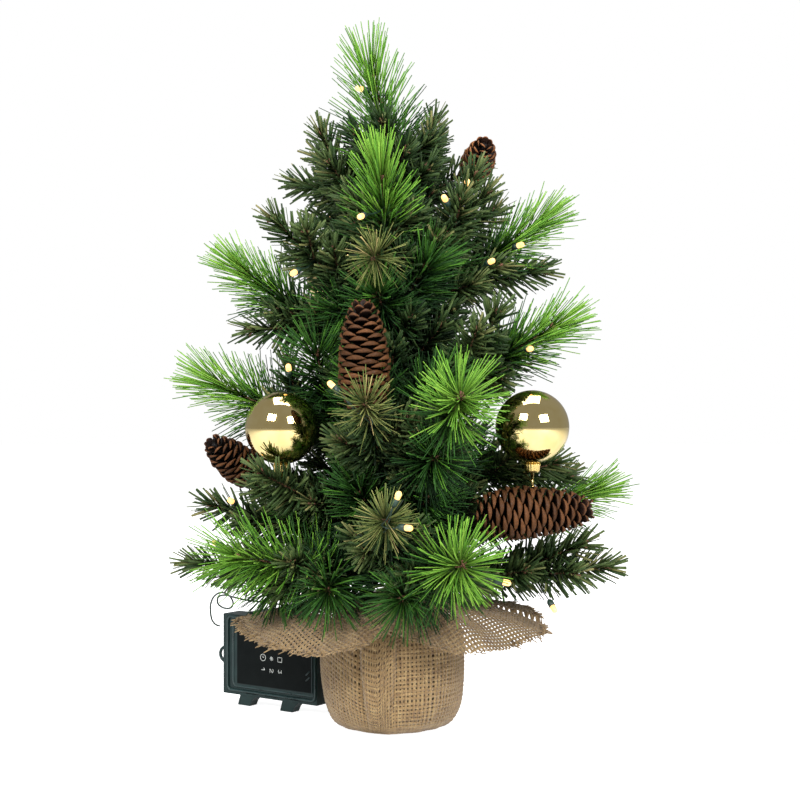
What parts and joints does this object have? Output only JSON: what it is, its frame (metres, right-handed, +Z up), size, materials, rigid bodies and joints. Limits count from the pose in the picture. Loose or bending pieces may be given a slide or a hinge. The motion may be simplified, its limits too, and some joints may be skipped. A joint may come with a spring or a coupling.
{
  "type": "artificial tabletop tree",
  "caption": "Small artificial pine tree on a burlap-wrapped base, with bendable branches, pinecones, gold baubles and warm lights fed by a battery box.",
  "frame": {"origin": "middle of the flat underside of the burlap-wrapped base, on the table", "axes": "+Z up the trunk, +X to the right of the front view, -Y towards the front"},
  "size_m": [0.3916, 0.3334, 0.6002],
  "materials": {
    "burlap": "matte",
    "burlap_loose": "matte",
    "jute_cord": "matte",
    "pot_plastic": "satin",
    "plaster": "matte",
    "trunk": "matte",
    "wire_green": "satin",
    "needles_pine": "satin",
    "needles_fir": "satin",
    "needles_sprig": "satin",
    "pinecone": "matte",
    "gold_mirror": "polished",
    "gold_cap": "satin",
    "case_green": "satin",
    "switch_knob": "satin",
    "seal_rubber": "matte",
    "cell_sleeve": "satin",
    "contact_plate": "satin",
    "circuit_board": "satin",
    "steel_pin": "satin"
  },
  "bodies": {
    "base": {"burlap_wrap": "burlap", "burlap_collar": "burlap_loose", "neck_tie": "jute_cord", "base_pot": "pot_plastic", "base_weight": "plaster", "trunk_pole": "trunk", "leader": "needles_pine", "light_string": "wire_green", "lead_wire": "wire_green", "battery_case": "case_green", "lid_seal": "seal_rubber", "battery_cell_1": "cell_sleeve", "battery_cell_2": "cell_sleeve", "battery_cell_3": "cell_sleeve", "contact_plate": "contact_plate", "circuit_board": "circuit_board", "hinge_pin": "steel_pin", "hanging_loop": "case_green", "cable_gland": "case_green"},
    "pine_upper_front": {"pine_upper_front": "needles_pine"},
    "pine_upper_left": {"pine_upper_left": "needles_pine"},
    "pine_upper_right": {"pine_upper_right": "needles_pine"},
    "pine_mid_left": {"pine_mid_left": "needles_pine"},
    "pine_mid_right": {"pine_mid_right": "needles_pine"},
    "pine_mid_front": {"pine_mid_front": "needles_pine"},
    "pine_low_left": {"pine_low_left": "needles_pine"},
    "pine_low_front": {"pine_low_front": "needles_pine"},
    "pine_low_right": {"pine_low_right": "needles_pine"},
    "fir_top_left": {"fir_top_left": "needles_fir"},
    "fir_top_right": {"fir_top_right": "needles_fir"},
    "fir_upper_left": {"fir_upper_left": "needles_fir"},
    "fir_upper_right": {"fir_upper_right": "needles_fir", "cone_top": "pinecone"},
    "fir_left_front": {"fir_left_front": "needles_fir", "cone_left": "pinecone", "bauble_left": "gold_mirror", "bauble_cap_left": "gold_cap"},
    "fir_right_mid": {"fir_right_mid": "needles_fir", "cone_right": "pinecone", "bauble_cap_right": "gold_cap", "bauble_right": "gold_mirror"},
    "fir_low_left": {"fir_low_left": "needles_fir"},
    "fir_bottom_left": {"fir_bottom_left": "needles_fir"},
    "fir_bottom_right": {"fir_bottom_right": "needles_fir"},
    "sprig_front_mid": {"sprig_front_mid": "needles_sprig", "cone_front": "pinecone"},
    "sprig_front_low": {"sprig_front_low": "needles_sprig"},
    "pine_back_upper": {"pine_back_upper": "needles_pine"},
    "fir_back_upper_left": {"fir_back_upper_left": "needles_fir"},
    "pine_back_left": {"pine_back_left": "needles_pine", "bauble_cap_back": "gold_cap", "bauble_back": "gold_mirror"},
    "fir_back_right": {"fir_back_right": "needles_fir"},
    "fir_back_low_left": {"fir_back_low_left": "needles_fir"},
    "pine_back_low_right": {"pine_back_low_right": "needles_pine", "cone_back": "pinecone"},
    "lid": {"battery_lid": "case_green"},
    "latch_left": {"latch_left": "case_green"},
    "latch_right": {"latch_right": "case_green"},
    "switch": {"mode_switch": "switch_knob"}
  },
  "joints": [
    {"name": "pine_upper_front_bend", "type": "hinge", "parent": "base", "child": "pine_upper_front", "pos_m": [-0.00134, -0.00839, 0.372], "axis": [-0.9874, 0.158, 0], "range_deg": [-8, 12]},
    {"name": "pine_upper_left_bend", "type": "hinge", "parent": "base", "child": "pine_upper_left", "pos_m": [-0.00847, 0.00066, 0.3], "axis": [0.0772, 0.997, 0], "range_deg": [-8, 12]},
    {"name": "pine_upper_right_bend", "type": "hinge", "parent": "base", "child": "pine_upper_right", "pos_m": [0.00834, 0.00165, 0.345], "axis": [0.1936, -0.9811, 0], "range_deg": [-8, 12]},
    {"name": "pine_mid_left_bend", "type": "hinge", "parent": "base", "child": "pine_mid_left", "pos_m": [-0.00845, 0.00094, 0.225], "axis": [0.1104, 0.9939, 0], "range_deg": [-8, 12]},
    {"name": "pine_mid_right_bend", "type": "hinge", "parent": "base", "child": "pine_mid_right", "pos_m": [0.00836, -0.00152, 0.265], "axis": [-0.1789, -0.9839, 0], "range_deg": [-8, 12]},
    {"name": "pine_mid_front_bend", "type": "hinge", "parent": "base", "child": "pine_mid_front", "pos_m": [0.00284, -0.00801, 0.175], "axis": [-0.9424, -0.3344, 0], "range_deg": [-8, 12]},
    {"name": "pine_low_left_bend", "type": "hinge", "parent": "base", "child": "pine_low_left", "pos_m": [-0.00733, -0.0043, 0.124], "axis": [-0.506, 0.8625, 0], "range_deg": [-8, 12]},
    {"name": "pine_low_front_bend", "type": "hinge", "parent": "base", "child": "pine_low_front", "pos_m": [0.00263, -0.00808, 0.118], "axis": [-0.951, -0.3092, 0], "range_deg": [-8, 12]},
    {"name": "pine_low_right_bend", "type": "hinge", "parent": "base", "child": "pine_low_right", "pos_m": [0.00841, 0.00124, 0.15], "axis": [0.1462, -0.9893, 0], "range_deg": [-8, 12]},
    {"name": "fir_top_left_bend", "type": "hinge", "parent": "base", "child": "fir_top_left", "pos_m": [-0.00848, 0.00063, 0.4], "axis": [0.0744, 0.9972, 0], "range_deg": [-8, 12]},
    {"name": "fir_top_right_bend", "type": "hinge", "parent": "base", "child": "fir_top_right", "pos_m": [0.0076, 0.0038, 0.425], "axis": [0.4472, -0.8944, 0], "range_deg": [-8, 12]},
    {"name": "fir_upper_left_bend", "type": "hinge", "parent": "base", "child": "fir_upper_left", "pos_m": [-0.00753, -0.00394, 0.335], "axis": [-0.464, 0.8858, 0], "range_deg": [-8, 12]},
    {"name": "fir_upper_right_bend", "type": "hinge", "parent": "base", "child": "fir_upper_right", "pos_m": [0.00829, -0.00188, 0.36], "axis": [-0.2216, -0.9751, 0], "range_deg": [-8, 6]},
    {"name": "fir_left_front_bend", "type": "hinge", "parent": "base", "child": "fir_left_front", "pos_m": [-0.00787, -0.00322, 0.17], "axis": [-0.3792, 0.9253, 0], "range_deg": [-8, 12]},
    {"name": "fir_right_mid_bend", "type": "hinge", "parent": "base", "child": "fir_right_mid", "pos_m": [0.00846, -0.00085, 0.19], "axis": [-0.0995, -0.995, 0], "range_deg": [-8, 12]},
    {"name": "fir_low_left_bend", "type": "hinge", "parent": "base", "child": "fir_low_left", "pos_m": [-0.00847, 0.00075, 0.15], "axis": [0.0879, 0.9961, 0], "range_deg": [-8, 6]},
    {"name": "fir_bottom_left_bend", "type": "hinge", "parent": "base", "child": "fir_bottom_left", "pos_m": [-0.00848, 0.00054, 0.12], "axis": [0.064, 0.9979, 0], "range_deg": [-8, 12]},
    {"name": "fir_bottom_right_bend", "type": "hinge", "parent": "base", "child": "fir_bottom_right", "pos_m": [0.00843, -0.00109, 0.118], "axis": [-0.1285, -0.9917, 0], "range_deg": [-8, 12]},
    {"name": "sprig_front_mid_bend", "type": "hinge", "parent": "base", "child": "sprig_front_mid", "pos_m": [-0.00122, -0.00841, 0.192], "axis": [-0.9897, 0.1433, 0], "range_deg": [-8, 12]},
    {"name": "sprig_front_low_bend", "type": "hinge", "parent": "base", "child": "sprig_front_low", "pos_m": [-0.00033, -0.00849, 0.14], "axis": [-0.9993, 0.0387, 0], "range_deg": [-8, 12]},
    {"name": "pine_back_upper_bend", "type": "hinge", "parent": "base", "child": "pine_back_upper", "pos_m": [0.00173, 0.00832, 0.33], "axis": [0.979, -0.204, 0], "range_deg": [-8, 12]},
    {"name": "fir_back_upper_left_bend", "type": "hinge", "parent": "base", "child": "fir_back_upper_left", "pos_m": [-0.00623, 0.00578, 0.385], "axis": [0.6805, 0.7328, 0], "range_deg": [-8, 12]},
    {"name": "pine_back_left_bend", "type": "hinge", "parent": "base", "child": "pine_back_left", "pos_m": [-0.00307, 0.00793, 0.24], "axis": [0.9326, 0.361, 0], "range_deg": [-8, 12]},
    {"name": "fir_back_right_bend", "type": "hinge", "parent": "base", "child": "fir_back_right", "pos_m": [0.00601, 0.00601, 0.255], "axis": [0.7071, -0.7071, 0], "range_deg": [-8, 12]},
    {"name": "fir_back_low_left_bend", "type": "hinge", "parent": "base", "child": "fir_back_low_left", "pos_m": [-0.00589, 0.00613, 0.155], "axis": [0.7208, 0.6931, 0], "range_deg": [-8, 12]},
    {"name": "pine_back_low_right_bend", "type": "hinge", "parent": "base", "child": "pine_back_low_right", "pos_m": [0.0029, 0.00799, 0.135], "axis": [0.9398, -0.3417, 0], "range_deg": [-8, 12]},
    {"name": "lid_hinge", "type": "hinge", "parent": "base", "child": "lid", "pos_m": [-0.09423, 0.08053, 0.011], "axis": [-0.8192, 0.5736, 0], "range_deg": [0, 88]},
    {"name": "latch_left_lift", "type": "hinge", "parent": "base", "child": "latch_left", "pos_m": [-0.12179, 0.07602, 0.0826], "axis": [0.8192, -0.5736, 0], "range_deg": [0, 75]},
    {"name": "latch_right_lift", "type": "hinge", "parent": "base", "child": "latch_right", "pos_m": [-0.07756, 0.04505, 0.0826], "axis": [0.8192, -0.5736, 0], "range_deg": [0, 75]},
    {"name": "mode_slide", "type": "slide", "parent": "base", "child": "switch", "axis": [0.8192, -0.5736, 0], "range_m": [-0.004, 0.004]}
  ]
}
